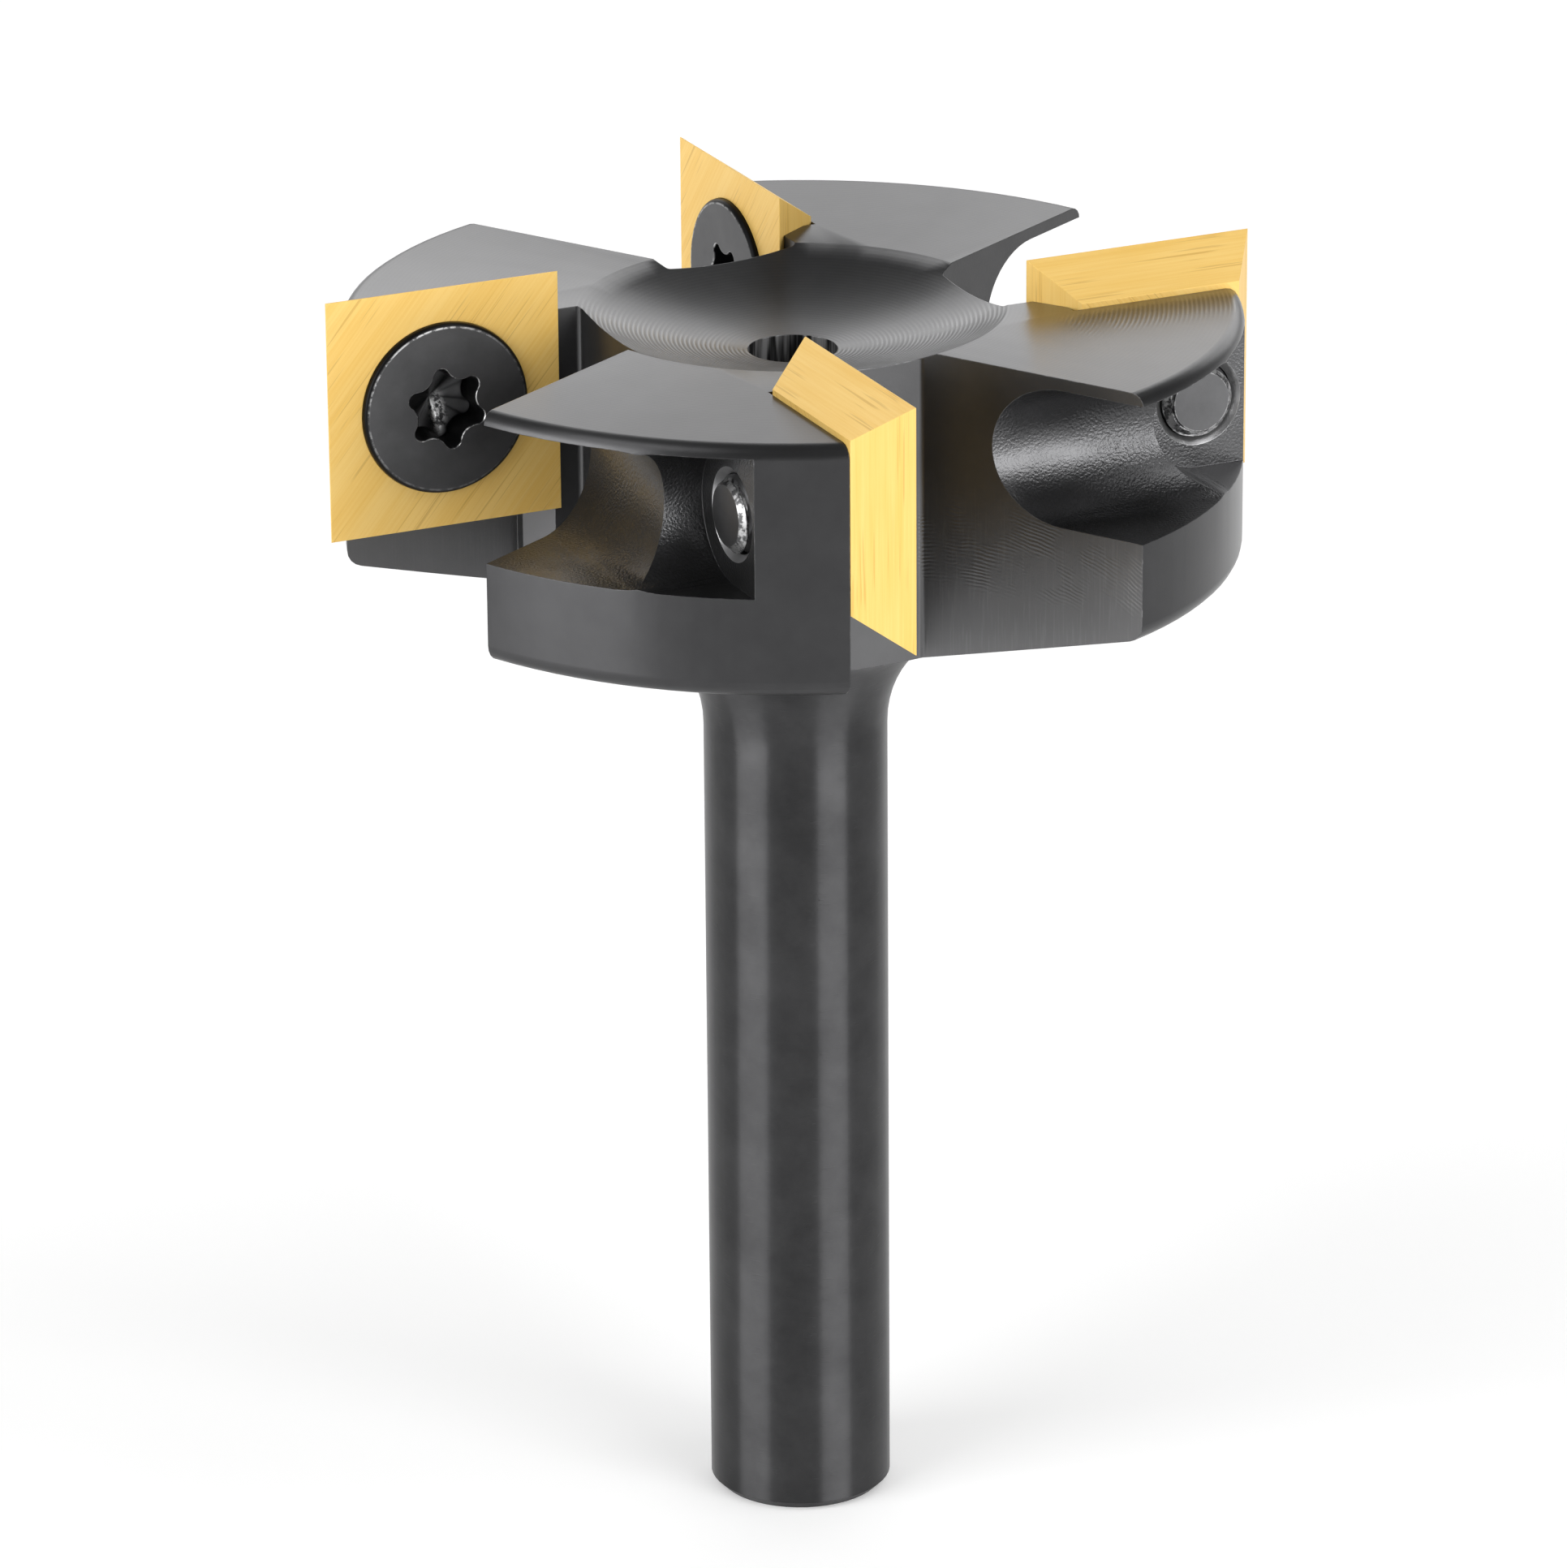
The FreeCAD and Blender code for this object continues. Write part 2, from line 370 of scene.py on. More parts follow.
def share(tree, *spans, rise="SMOOTHSTEP"):
    """0 to 1: the product of one rise per (value, start, end), from 0 at start to 1 at end."""
    rises = [add(tree, "MapRange", {"Value": value, "From Min": start, "From Max": end},
                 interpolation_type=rise).outputs[0] for value, start, end in spans]
    return product(tree, *rises)


def layered(tree, tone, *layers):
    """A tone under layers of (share, colour), each mixed in by its share from 0 to 1."""
    for amount, code in layers:
        tone = add(tree, "Mix", {0: amount, 6: tone, 7: linear(code)}, data_type="RGBA").outputs[2]
    return tone


def relief(tree, normal, *layers):
    """Normal under layers of (height, depth): a height of 1 stands that many metres high."""
    for height, depth in layers:
        normal = add(tree, "Bump", {"Height": height, "Strength": 1.0, "Distance": depth,
                                    "Normal": normal}).outputs[0]
    return normal


def oxide_tone(tree, spot, patch, dark, light):
    """Colour of the oxide, cloudy at the size of a patch."""
    cloud = add(tree, "TexNoise", {"Vector": spot, "Scale": 1 / patch, "Detail": 5.0,
                                   "Roughness": 0.6}).outputs["Fac"]
    return layered(tree, linear(dark), (share(tree, (cloud, 0.32, 0.72), rise="LINEAR"), light))


print("worn edges are felt out with", bevel_samples, "rays")

# %% Marks that tools and wear leave
wave_length = 0.314


def arcs(tree, spot, centre, pitch, wander):
    """Height of round ridges about a centre, a pitch apart, that wander a little.

    A wave texture at scale 1 repeats every 0.314 of a unit.
    """
    moved = add(tree, "Mapping", {"Vector": spot, "Location": [-v for v in centre]})
    return add(tree, "TexWave", {"Vector": moved.outputs[0], "Scale": wave_length / pitch,
                                 "Distortion": wander, "Detail": 2.0, "Detail Scale": 0.4},
               wave_type="RINGS", rings_direction="SPHERICAL").outputs["Fac"]


def rubbed_edges(tree, spot, worn):
    """0 to 1 where an edge's rounding turns the surface, broken up as real wear is."""
    facing = add(tree, "NewGeometry").outputs["Normal"]
    turn = add(tree, "VectorMath", {0: worn, 1: facing}, operation="DOT_PRODUCT").outputs["Value"]
    patch = add(tree, "TexNoise", {"Vector": spot, "Scale": 1 / (0.9 * mm), "Detail": 4.0,
                                   "Roughness": 0.7}).outputs["Fac"]
    return share(tree, (turn, 0.985, 0.90), (patch, 0.48, 0.66))


def about_axis(tree, spot):
    """A spot's x, y and z, its way across from the axis, its radius and the flat (radius, z)."""
    parts = add(tree, "SeparateXYZ", {"Vector": spot}).outputs
    across = add(tree, "CombineXYZ", {"X": parts["X"], "Y": parts["Y"]}).outputs[0]
    radius = add(tree, "VectorMath", {0: across}, operation="LENGTH").outputs["Value"]
    section = add(tree, "CombineXYZ", {"X": radius, "Y": parts["Z"]}).outputs[0]
    return parts, across, radius, section


def across_rings(tree, across):
    """Way in which rings spread the light: along a shaft, and outwards on a face."""
    ring_way = add(tree, "VectorMath", {0: across, 1: (0, 0, 1)}, operation="CROSS_PRODUCT")
    facing = add(tree, "NewGeometry").outputs["Normal"]
    return add(tree, "VectorMath", {0: ring_way.outputs[0], 1: facing},
               operation="CROSS_PRODUCT").outputs[0]


print("ridges 0.3 mm apart need a wave scale of", round(wave_length / (0.3 * mm)))

# %% [markdown]
# ### Ground shank
# The shank runs true in a collet, so it is ground round after it is hardened. Rings
# modelled in the mesh would need thousands of rows. They are a height pattern over
# (radius, z) here, and the anisotropic shader smears the lamps into clean bands.

# %% Ground shank
edge_wear = 0.07 * mm
scratch_width = 0.16 * mm
scratches_per_radian = 5.0


def ground_steel(name):
    """Centreless-ground black-oxide steel.

    The wheel leaves hair-fine rings, drawn 0.12 mm apart, coarser than real so that
    they show. A few short scratches run round the shank too.
    """
    material, tree, worn = new_finish(name, edge_wear)
    spot = add(tree, "TexCoord").outputs["Object"]
    parts, across, _, section = about_axis(tree, spot)
    rings = add(tree, "TexNoise", {"Vector": section, "Scale": 1 / (0.12 * mm), "Detail": 3.0,
                                   "Roughness": 0.7}, noise_dimensions="2D").outputs["Fac"]
    angle = add(tree, "Math", {0: parts["Y"], 1: parts["X"]}, operation="ARCTAN2").outputs[0]
    unrolled = add(tree, "CombineXYZ", {"X": product(tree, angle, scratches_per_radian),
                                        "Y": product(tree, parts["Z"], 1 / scratch_width)})
    scratch = add(tree, "TexNoise", {"Vector": unrolled.outputs[0], "Scale": 1.0, "Detail": 1.0},
                  noise_dimensions="2D").outputs["Fac"]
    marks = total(tree, rings, product(tree, share(tree, (scratch, 0.70, 0.76)), 2.5))
    return finish_material(material, tree, {
        "Base Color": oxide_tone(tree, spot, 4 * mm, "#434344", "#505051"),
        "Metallic": 1.0, "Roughness": 0.36, "Anisotropic": 1.0,
        "Normal": relief(tree, worn, (marks, 0.0016 * mm)),
        "Tangent": across_rings(tree, across)})


shank_steel = ground_steel("centreless_ground_black_oxide_steel")
print(shank_steel.name, "has", len(shank_steel.node_tree.nodes), "nodes")

# %% [markdown]
# ### Turned head
# The face, the dish and the rim are turned on a lathe. The tool chattered over one
# half of the dish and beside the third insert, which shows as strong rings there,
# with painted shade over those places and a painted highlight on the rings' crests.
# A cutting mark belongs to a place on the real part, so its mask is measured in
# millimetres from the axis and from the insert, and only its edges are left to noise.

# %% Turned head
# Way from the axis to the middle of the half on which the tool chattered.
# That half of the dish also gets painted shade.
chattered_side = (-0.42, -0.91, 0)


def turned_steel(name, roughness, anisotropy, ring_depth):
    """Black-oxide steel turned on a lathe.

    The tool's feed leaves even rings about the axis, 0.2 mm apart and drawn 0.3 mm
    apart so that they show, with hair-fine ones between. Where it chattered, the
    ring crests get a painted highlight, and those places and the chattered half of
    the dish get painted shade. That half of the dish is rougher too.
    """
    material, tree, worn = new_finish(name, edge_wear)
    spot = add(tree, "TexCoord").outputs["Object"]
    parts, across, radius, section = about_axis(tree, spot)
    wing_spot = add(tree, "Attribute", attribute_name="wing_frame").outputs["Vector"]
    depth = add(tree, "SeparateXYZ", {"Vector": wing_spot}).outputs["Y"]
    along = add(tree, "VectorMath", {0: across, 1: chattered_side},
                operation="DOT_PRODUCT").outputs["Value"]
    patch = add(tree, "TexNoise", {"Vector": spot, "Scale": 1 / (3 * mm),
                                   "Detail": 3.0}).outputs["Fac"]
    in_dish = share(tree, (along, -1 * mm, 3 * mm),
                    (radius, dish_radius + 0.05 * mm, dish_radius - 0.05 * mm))
    chatter = share(tree, (along, -3 * mm, 1 * mm),
                    (radius, dish_radius + 0.45 * mm, dish_radius - 0.55 * mm),
                    (patch, 0.30, 0.54))
    beside_third = share(tree, (parts["X"], 13.5 * mm, 15 * mm),
                         (parts["Z"], flat_height - 0.28 * mm, flat_height - 0.08 * mm),
                         (depth, 9 * mm, 10.5 * mm), (depth, 15 * mm, 12 * mm),
                         (patch, 0.3, 0.5))
    heavy = total(tree, chatter, product(tree, beside_third, 0.8), 0.06)

    feed = arcs(tree, across, (0.15 * mm, -0.1 * mm, 0), 0.30 * mm, 0.8)
    hair = add(tree, "TexNoise", {"Vector": section, "Scale": 1 / (0.11 * mm), "Detail": 3.0,
                                  "Roughness": 0.6}, noise_dimensions="2D").outputs["Fac"]
    grain = add(tree, "TexNoise", {"Vector": spot, "Scale": 1 / (0.22 * mm), "Detail": 4.0,
                                   "Roughness": 0.7}).outputs["Fac"]
    fine = total(tree, product(tree, hair, 0.25), product(tree, grain, 0.35))

    oxide = oxide_tone(tree, spot, 3 * mm, "#474748", "#4c4c4d")
    # Painted shade over the chattered places and the chattered half of the dish, and a painted
    # highlight on the crests of their rings.
    chatter_painted_shade = total(tree, product(tree, heavy, 0.8), product(tree, in_dish, 0.60))
    crest_painted_highlight = product(tree, share(tree, (feed, 0.45, 0.7)), heavy, 0.9)
    return finish_material(material, tree, {
        "Base Color": layered(tree, oxide, (chatter_painted_shade, "#303031"), (crest_painted_highlight, "#666667"),
                              (rubbed_edges(tree, spot, worn), "#8e8e8f")),
        "Metallic": 1.0, "Anisotropic": anisotropy,
        "Roughness": total(tree, product(tree, in_dish, 0.14), roughness),
        "Normal": relief(tree, worn, (product(tree, feed, heavy), ring_depth),
                         (fine, 0.006 * mm)),
        "Tangent": across_rings(tree, across)})


face_steel = turned_steel("faced_black_oxide_steel", roughness=0.29, anisotropy=0.65,
                          ring_depth=0.014 * mm)
rim_steel = turned_steel("turned_black_oxide_steel", roughness=0.32, anisotropy=0.85,
                         ring_depth=0)
print(face_steel.name, "and", rim_steel.name)

# %% [markdown]
# ### Milled wings
# The gullets and the wings' backs are cut with an end mill that stands along the
# axis. Its marks follow each wing, so they are drawn in the wing's own frame, an
# attribute of the mesh in which every wing lies where the first one does.

# %% Milled wings
def milled_steel(name):
    """Black-oxide steel cut with the side of an end mill.

    Chatter leaves a band of shallow arcs across the flat backs of the wings, 0.25 mm
    apart. Fine upright feed lines cover the lower half. That half gets painted light,
    more of it towards the back, streaked along the feed lines.
    """
    material, tree, worn = new_finish(name, edge_wear)
    spot = add(tree, "TexCoord").outputs["Object"]
    wing_spot = add(tree, "Attribute", attribute_name="wing_frame").outputs["Vector"]
    parts = add(tree, "SeparateXYZ", {"Vector": wing_spot}).outputs
    patch = add(tree, "TexNoise", {"Vector": spot, "Scale": 1 / (3 * mm),
                                   "Detail": 3.0}).outputs["Fac"]
    low = share(tree, (parts["Z"], 76 * mm, 69 * mm))
    behind = share(tree, (parts["Y"], 8 * mm, 11 * mm))
    band = share(tree, (parts["Z"], 66.5 * mm, 68.5 * mm), (parts["Z"], 74 * mm, 71 * mm),
                 (patch, 0.44, 0.62))

    chatter = arcs(tree, wing_spot, (-8 * mm, 14 * mm, 46 * mm), 0.25 * mm, 6.0)
    upright = add(tree, "Mapping", {"Vector": wing_spot,
                                    "Scale": (1 / (0.16 * mm), 1 / (0.16 * mm), 1 / (3 * mm))})
    feed = add(tree, "TexNoise", {"Vector": upright.outputs[0], "Scale": 1.0,
                                  "Detail": 3.0}).outputs["Fac"]
    grain = add(tree, "TexNoise", {"Vector": spot, "Scale": 1 / (0.18 * mm),
                                   "Detail": 3.0}).outputs["Fac"]
    marks = total(tree, product(tree, chatter, 0.7, band, behind),
                  product(tree, feed, total(tree, product(tree, low, 0.25), 0.05)),
                  product(tree, grain, 0.25))

    oxide = oxide_tone(tree, spot, 4 * mm, "#4e4e4f", "#555556")
    # Painted light: the lower half of each wing's back is lighter, most towards the back.
    streaked = total(tree, product(tree, share(tree, (feed, 0.5, 0.7)), 0.14), 0.20)
    light = product(tree, low, total(tree, product(tree, behind, streaked), 0.12))
    return finish_material(material, tree, {
        "Base Color": layered(tree, oxide, (light, "#7e7e7f"),
                              (rubbed_edges(tree, spot, worn), "#8e8e8f")),
        "Metallic": 0.85, "Roughness": 0.36, "Anisotropic": 0.5,
        "Normal": relief(tree, worn, (marks, 0.019 * mm)),
        "Tangent": add(tree, "CombineXYZ", {"Z": 1.0}).outputs[0]})


wing_steel = milled_steel("milled_black_oxide_steel")
print(wing_steel.name, "has", len(wing_steel.node_tree.nodes), "nodes")

# %% [markdown]
# ### Slots, mouths and the centre hole
# Three cuts look unlike the rest. The slots behind the inserts are pebbled, the mouths
# of the screw holes are bright, and the centre hole is streaked with painted
# reflections. Each has a finish of its own, because one finish with a mask for each
# would be harder to read and change.

# %% Milled slots
def slotted_steel(name):
    """Black-oxide steel at the bottom of a milled slot.

    Chips rub in the slot while it is cut, so its wall is pebbled like orange peel,
    drawn 0.18 mm wide, and shiny on top of each pebble.
    """
    material, tree, worn = new_finish(name, edge_wear)
    spot = add(tree, "TexCoord").outputs["Object"]
    pebble = add(tree, "TexNoise", {"Vector": spot, "Scale": 1 / (0.18 * mm), "Detail": 2.0,
                                    "Roughness": 0.55}).outputs["Fac"]
    patch = add(tree, "TexNoise", {"Vector": spot, "Scale": 1 / (5 * mm), "Detail": 2.0})
    strong = total(tree, share(tree, (patch.outputs["Fac"], 0.35, 0.65)), 0.8)
    return finish_material(material, tree, {
        "Base Color": oxide_tone(tree, spot, 4 * mm, "#515152", "#5b5b5c"),
        "Metallic": 0.95, "Roughness": 0.31,
        "Normal": relief(tree, worn, (product(tree, pebble, strong), 0.032 * mm))})


slot_steel = slotted_steel("slot_milled_black_oxide_steel")
print(slot_steel.name, "has", len(slot_steel.node_tree.nodes), "nodes")

# %% Countersunk mouths and drilled centre hole
def countersunk_steel(name):
    """Steel of the screw holes' chamfers, cut last: a thin oxide over bright fresh metal."""
    material, tree, worn = new_finish(name, edge_wear)
    spot = add(tree, "TexCoord").outputs["Object"]
    grain = add(tree, "TexNoise", {"Vector": spot, "Scale": 1 / (0.15 * mm), "Detail": 3.0})
    return finish_material(material, tree, {
        "Base Color": oxide_tone(tree, spot, 2 * mm, "#b0b0b1", "#c8c8c9"),
        "Metallic": 0.9, "Roughness": 0.29,
        "Normal": relief(tree, worn, (grain.outputs["Fac"], 0.008 * mm))})


def drilled_steel(name):
    """Steel of the centre hole: thin oxide streaked upright by a drill's margins, painted bright
    as reflections.
    """
    material, tree, worn = new_finish(name, edge_wear)
    spot = add(tree, "TexCoord").outputs["Object"]
    upright = add(tree, "Mapping", {"Vector": spot,
                                    "Scale": (1 / (1.1 * mm), 1 / (1.1 * mm), 1 / (14 * mm))})
    drill_streak_and_sheen = add(tree, "TexNoise", {"Vector": upright.outputs[0], "Scale": 1.0, "Detail": 3.0,
                                    "Roughness": 0.7}).outputs["Fac"]
    # The bright colour of the streaks is a painted reflection on the hole's wall.
    return finish_material(material, tree, {
        "Base Color": layered(tree, linear("#1c1c1d"),
                              (share(tree, (drill_streak_and_sheen, 0.40, 0.62)), "#a8a8a9")),
        "Metallic": 0.6, "Roughness": 0.36,
        "Normal": relief(tree, worn, (drill_streak_and_sheen, 0.02 * mm))})


mouth_steel = countersunk_steel("countersunk_thin_oxide_steel")
hole_steel = drilled_steel("drilled_thin_oxide_steel")
print(mouth_steel.name, "and", hole_steel.name)

# %% [markdown]
# ## The body
# The body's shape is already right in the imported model, so it is copied and not
# rebuilt. The copy's loose triangles are merged first. Edges sharper than 30 degrees
# stay crisp, and the narrow bevels of the rim shade as one round edge, because each
# corner takes its direction from the larger faces beside it.

# %% Body copy
weld = 0.002 * mm
body_finishes = [wing_steel, shank_steel, face_steel, slot_steel, mouth_steel, rim_steel,
                 hole_steel]

body_mesh = bpy.data.meshes.new("cutter_body_shell")
merge = bmesh.new()
merge.from_mesh(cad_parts["cutter_body"].data)
bmesh.ops.remove_doubles(merge, verts=merge.verts, dist=weld)
merge.to_mesh(body_mesh)
merge.free()
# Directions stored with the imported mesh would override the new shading.
if "custom_normal" in body_mesh.attributes:
    body_mesh.attributes.remove(body_mesh.attributes["custom_normal"])
smooth(body_mesh, sharp_angle=30)
body_mesh.materials.clear()
for finish in body_finishes:
    body_mesh.materials.append(finish)
print("body copy has", len(body_mesh.polygons), "triangles")

# %% [markdown]
# ### Which face has which finish
# A finish could be painted on face by face, but a new model.glb would lose the
# choice. It is worked out from each face's centre and direction instead. A turned
# face has no slope round the axis, and what lies in a wing is tested in the first
# wing's place.
# Centres lie a little off the true sizes, so each test has the same small slack.

# %% Turned faces
slack = 0.05 * mm
flare_top = 61.38 * mm
flare_reach = 11.65 * mm
underside_start = 11.05 * mm
rim_bottom = 66.08 * mm
rim_start = 27.45 * mm
dish_depth = 3.0 * mm
hole_radius = 2.9 * mm
hole_depth = 12.0 * mm
dish_floor = flat_height - dish_depth
hole_floor = dish_floor - hole_depth

centres, normals = faces_of(body_mesh, "center"), faces_of(body_mesh, "normal")
height, radius = centres[:, 2], np.hypot(centres[:, 0], centres[:, 1])
outward = (centres[:, :2] * normals[:, :2]).sum(axis=1) / np.maximum(radius, 0.001 * mm)
revolved = np.abs(np.hypot(outward, normals[:, 2]) - 1) < 0.01
upwards, downwards = normals[:, 2] > 0.8, normals[:, 2] < -0.9

on_shank = revolved & (height < flare_top + slack) & (radius < flare_reach + slack)
on_rim = revolved & (radius > rim_start - slack)
on_face = upwards & (height > dish_floor - slack) & (radius > hole_radius + slack) & (
    (radius < dish_radius + slack) | (height > flat_height - slack))
on_underside = downwards & (height < rim_bottom + slack) & (radius > underside_start - slack)
in_centre_hole = (radius < hole_radius + slack) & (height > hole_floor - slack)
print("turned faces", int((on_shank | on_rim | on_face | on_underside).sum()))

# %% Faces of each wing
gullet_angle = math.radians(30.8)
gullet_normal = np.array([math.cos(gullet_angle), math.sin(gullet_angle), 0])
gullet_root = (-3.1 * mm, 12.2 * mm)
wing_front = insert_face - 0.2 * mm
screw_stand_out = 0.45 * mm
slot_floor = screw_tip - screw_stand_out
slot_radius = 4.5 * mm
mouth_radius = 3.0 * mm
mouth_chamfer = 0.45 * mm

in_slot = np.zeros(len(radius), bool)
on_mouth = np.zeros(len(radius), bool)
wing_of = np.zeros(len(radius), np.int32)
for number in range(wing_count):
    spots, facing = turned(centres, -number), turned(normals, -number)
    along, depth, above = spots[:, 0], spots[:, 1], spots[:, 2] - insert_middle
    own = (depth > wing_front) & (
        along - gullet_root[0] < (gullet_root[1] - depth) * math.tan(gullet_angle))
    wing_of[own] = number
    on_gullet = facing @ gullet_normal > 0.99
    in_slot |= own & ~on_gullet & ~on_rim & (depth > slot_floor - slack) & (
        np.abs(above) < slot_radius + slack)
    at_floor = np.abs(depth - slot_floor + mouth_chamfer / 2) < mouth_chamfer / 2 + slack
    chamfered = np.abs(facing[:, 1] - math.sqrt(0.5)) < 0.05
    on_mouth |= own & at_floor & chamfered & (
        np.hypot(along + screw_reach, above) < mouth_radius + slack)

finish_index = np.zeros(len(radius), np.int32)
for finish, mine in ((shank_steel, on_shank), (face_steel, on_face),
                     (rim_steel, on_rim | on_underside), (slot_steel, in_slot),
                     (mouth_steel, on_mouth), (hole_steel, in_centre_hole)):
    finish_index[mine] = body_finishes.index(finish)
body_mesh.polygons.foreach_set("material_index", finish_index)
print("faces per finish", np.bincount(finish_index).tolist())

# %% Each wing's own frame
corner_spots = points_of(body_mesh)[corners_of(body_mesh)]
corner_wing = np.repeat(wing_of, [len(p.vertices) for p in body_mesh.polygons])
for number in range(wing_count):
    mine = corner_wing == number
    corner_spots[mine] = turned(corner_spots[mine], -number)
layer = body_mesh.attributes.new("wing_frame", "FLOAT_VECTOR", "CORNER")
layer.data.foreach_set("vector", corner_spots.astype(np.float32).ravel())
print("faces per wing", np.bincount(wing_of).tolist())

# %% Body piece
body = bpy.data.objects.new("cutter_body_dressed", body_mesh)
bpy.context.collection.objects.link(body)
weighted = body.modifiers.new("even_shading", "WEIGHTED_NORMAL")
weighted.keep_sharp = True
weighted.weight = 50
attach(body, "root")
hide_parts("cutter_body")
print(body.name, "has", len(body_mesh.materials), "finishes")

# %% [markdown]
# ## Gold-coated carbide
# The inserts are sintered tungsten carbide, ground flat with a diamond wheel and
# then given a thin gold-coloured nitride coat. The coat is a metal to the eye. The
# grinding lines stay visible through it, slanted on the face and along the edges on
# the flanks, so the pattern follows a map of each face and not the whole object.

# %% Gold-coated carbide
def coated_carbide(name):
    """Gold nitride coat with grinding lines that run along the map's first axis.

    The wheel's grit leaves long fine lines, drawn 0.18 mm apart, and a loose grain
    now and then leaves a group of deeper ones, which are darkened with painted shade.
    """
    material, tree, worn = new_finish(name, edge_radius=0.04 * mm)
    sheet = add(tree, "UVMap", uv_map="grinding").outputs[0]

    def lines(length, width, detail):
        """Noise stretched to lines of this length and width in millimetres."""
        scaled = add(tree, "Mapping", {"Vector": sheet, "Scale": (1 / length, 1 / width, 1.0)})
        return add(tree, "TexNoise", {"Vector": scaled.outputs[0], "Scale": 1.0,
                                      "Detail": detail, "Roughness": 0.65},
                   noise_dimensions="2D").outputs["Fac"]

    fine = lines(12.0, 0.18, detail=3.0)
    broad = lines(16.0, 1.6, detail=2.0)
    # Groups of deeper lines, cut in relief and darkened with painted shade.
    scored_and_shaded = share(tree, (lines(11.0, 0.17, detail=1.0), 0.62, 0.72),
                   (lines(9.0, 2.0, detail=1.0), 0.46, 0.58))
    mixed = total(tree, product(tree, fine, 0.55), product(tree, broad, 0.45))
    height = total(tree, fine, product(tree, scored_and_shaded, -1.0))
    return finish_material(material, tree, {
        "Base Color": layered(tree, linear("#f0c364"),
                              (share(tree, (mixed, 0.32, 0.62), rise="LINEAR"), "#f6cf79"),
                              (product(tree, scored_and_shaded, 0.55), "#cfa24e")),
        "Metallic": 0.3, "Roughness": 0.46,
        "Normal": relief(tree, worn, (height, 0.002 * mm))})


gold_carbide = coated_carbide("gold_nitride_coated_ground_carbide")
print(gold_carbide.name, "has", len(gold_carbide.node_tree.nodes), "nodes")

# %% [markdown]
# ## An insert
# An insert is a square plate whose four flanks slope inwards at 35 degrees and whose
# middle has a 90-degree countersink. A boolean cut would leave long thin faces. Here
# every row of the grid blends from the round hole to the square outline, so the whole
# plate is one even ring of four-sided faces.

# %% Insert shape
flank_slope = math.tan(math.radians(35))
sink_radius = 5.678 * mm
bore_radius = 2.75 * mm
honed_edge = 0.05 * mm
insert_around = 192


def round_screw(spread, depth, angles):
    """Points at a distance from the screw's axis, a depth into the wing and an angle round it."""
    spread, depth, angles = np.broadcast_arrays(spread, depth, angles)
    return np.stack([-screw_reach + spread * np.cos(angles), depth,
                     insert_middle + spread * np.sin(angles)], axis=-1)


def square_ring(half, angles):
    """Distance to a square's outline: half a side over the larger of |cos| and |sin|."""
    return half / np.maximum(np.abs(np.cos(angles)), np.abs(np.sin(angles)))


def insert_grid():
    """Rows of (radius, depth) from the bore's back, up the countersink and down the flank.

    The columns are a multiple of eight, so that every corner falls on one.
    """
    angles = np.arange(insert_around) * 2 * math.pi / insert_around
    sink = sink_radius - bore_radius
    rim_ring = square_ring(insert_half - honed_edge, angles)
    rows = [(bore_radius, insert_back), (bore_radius, insert_face + sink),
            (bore_radius + sink / 2, insert_face + sink / 2), (sink_radius, insert_face)]
    rows += [(sink_radius + (rim_ring - sink_radius) * part, insert_face)
             for part in (0.03, 0.35, 0.7, 1)]
    rows += [(square_ring(insert_half - depth * flank_slope, angles), insert_face + depth)
             for depth in (honed_edge, insert_back - insert_face)]
    return np.stack([round_screw(spread, depth, angles) for spread, depth in rows])


print("insert grid", insert_grid().shape)

# %% Insert maps
grinding_slant = math.radians(50)
flank_stretch = 1.2
flank_offsets = (40, 80)


def grinding_map(mesh):
    """UV map in millimetres: slanted on the flat faces, along the edge on the flanks.

    Each pair of flanks has its own offset, so that neighbouring faces differ.
    """
    x, y, z = (points_of(mesh)[corners_of(mesh)] / mm).T
    facing = np.repeat(faces_of(mesh, "normal"), [len(p.vertices) for p in mesh.polygons], axis=0)
    flat = np.stack([x * math.cos(grinding_slant) + z * math.sin(grinding_slant),
                     z * math.cos(grinding_slant) - x * math.sin(grinding_slant)], axis=1)
    level = np.stack([x, y * flank_stretch + flank_offsets[0]], axis=1)
    upright = np.stack([z, y * flank_stretch + flank_offsets[1]], axis=1)
    is_level = np.abs(facing[:, 2:]) > np.abs(facing[:, :1])
    values = np.where(np.abs(facing[:, 1:2]) > 0.9, flat, np.where(is_level, level, upright))
    mesh.uv_layers.new(name="grinding").data.foreach_set("uv", values.ravel())


inserts = []
for number in range(wing_count):
    mesh = grid_mesh(f"insert_plate_{number + 1}", insert_grid(), join_profile=True)
    grinding_map(mesh)
    piece = place(mesh, f"insert_plate_{number + 1}", gold_carbide, number)
    smooth(mesh, sharp_angle=20)
    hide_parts(f"insert_{number + 1}")
    inserts.append(piece)
print("insert has", len(inserts[0].data.polygons), "faces")

# %% [markdown]
# ## A screw
# The screw's head stands a little proud of the insert and has a six-lobe recess. Its
# outline is made of arcs: six round lobes joined by six wider hollows. A star drawn
# with straight flats would look like a gear, so the radius is worked out arc by arc
# at each angle. The threaded shank is the same grid, with a radius that rises and
# falls along a helix.

# %% Screw outline
lobe_radius = 0.56 * mm
lobe_centre = 2.14 * mm
valley_width = 4.0 * mm
half_lobe = math.radians(30)
hollow_radius = ((lobe_centre ** 2 + valley_width ** 2 / 4
                  - lobe_centre * valley_width * math.cos(half_lobe) - lobe_radius ** 2)
                 / (2 * lobe_radius - valley_width + 2 * lobe_centre * math.cos(half_lobe)))
hollow_centre = valley_width / 2 + hollow_radius


